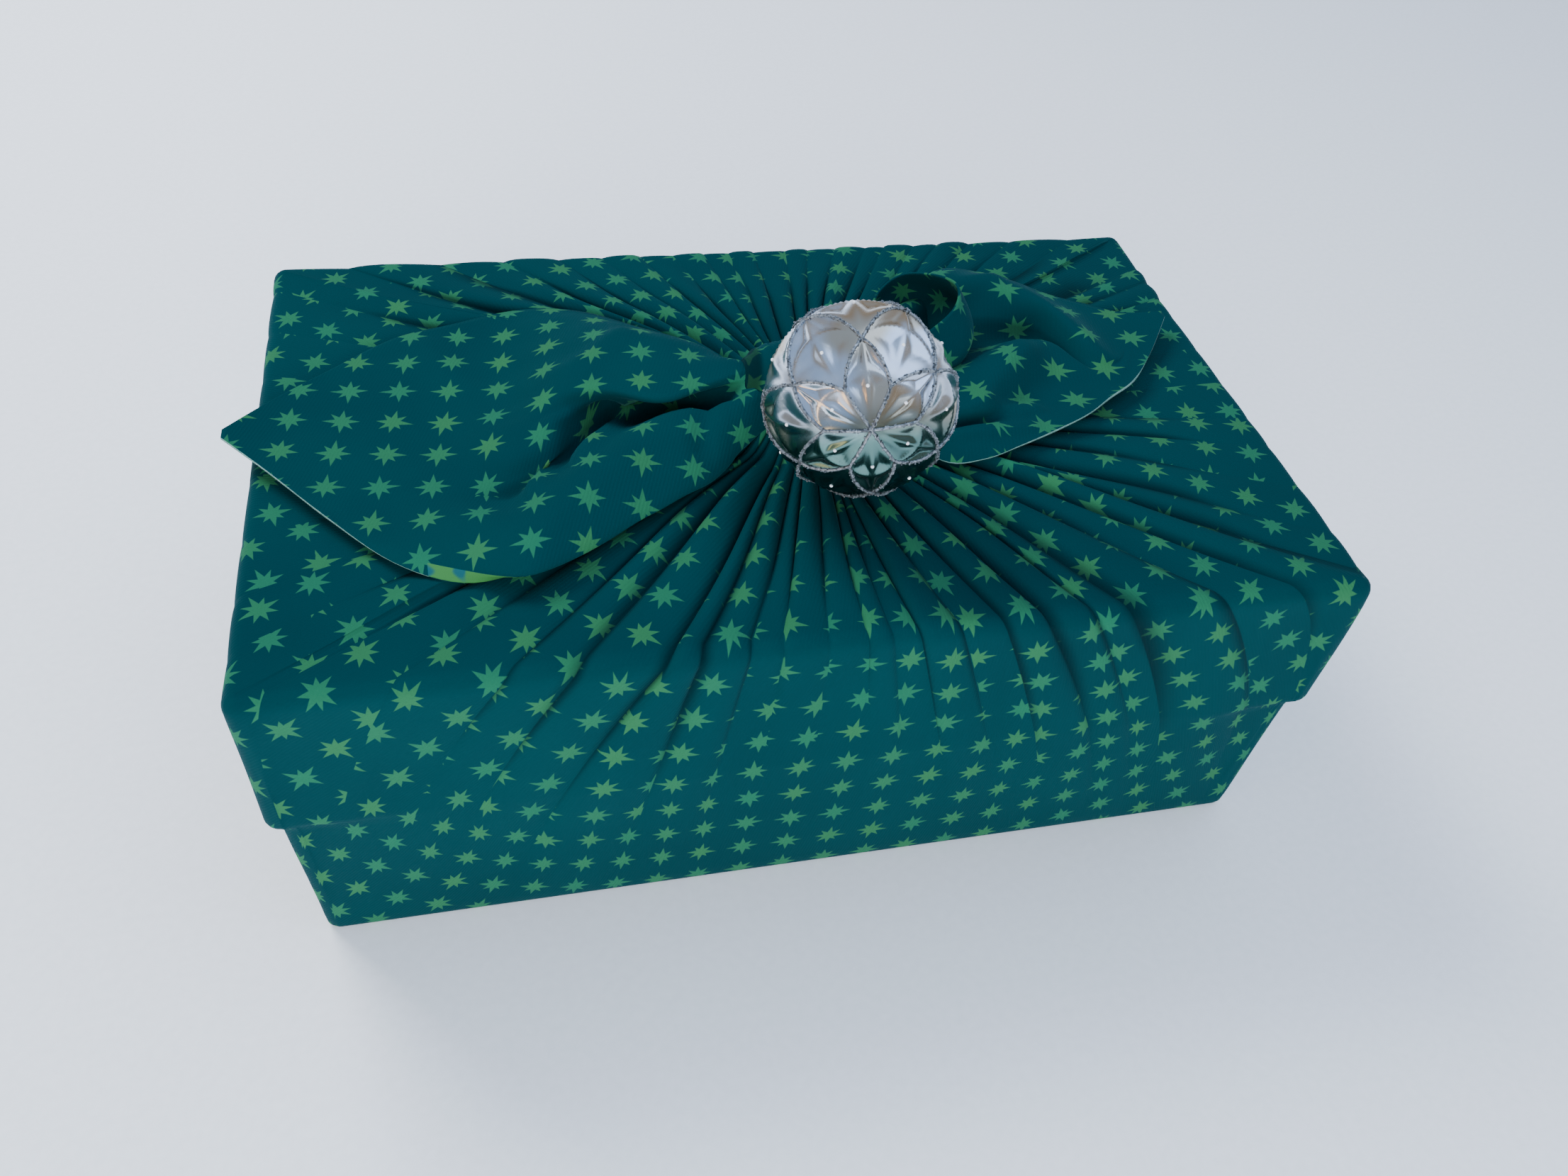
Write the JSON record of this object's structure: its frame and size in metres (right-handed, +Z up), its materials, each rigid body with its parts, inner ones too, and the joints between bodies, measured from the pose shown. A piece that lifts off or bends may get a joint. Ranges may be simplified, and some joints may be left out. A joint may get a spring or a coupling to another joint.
{
  "type": "furoshiki wrap on a gift box",
  "caption": "Gift box wrapped in one square of printed stretch cloth, gathered into a top knot with two spread tails and a faceted bauble.",
  "frame": {"origin": "under the middle of the parcel, on the surface it stands on", "axes": "+X along the parcel, towards the looped tail; +Y towards its back; +Z up, to the knot"},
  "size_m": [0.3599, 0.2217, 0.1967],
  "materials": {
    "wrap_cloth": "soft brushed stretch knit, star print",
    "gift_box_lid": "plain grey board, matt",
    "gift_box_base": "plain grey board, matt",
    "bauble": "silvered glass with glitter lines",
    "bauble_cap": "tin cap"
  },
  "bodies": {
    "root": {"wrap_cloth": "wrap_cloth", "gift_box_lid": "gift_box_lid", "gift_box_base": "gift_box_base", "bauble": "bauble", "bauble_cap": "bauble_cap"}
  },
  "joints": []
}
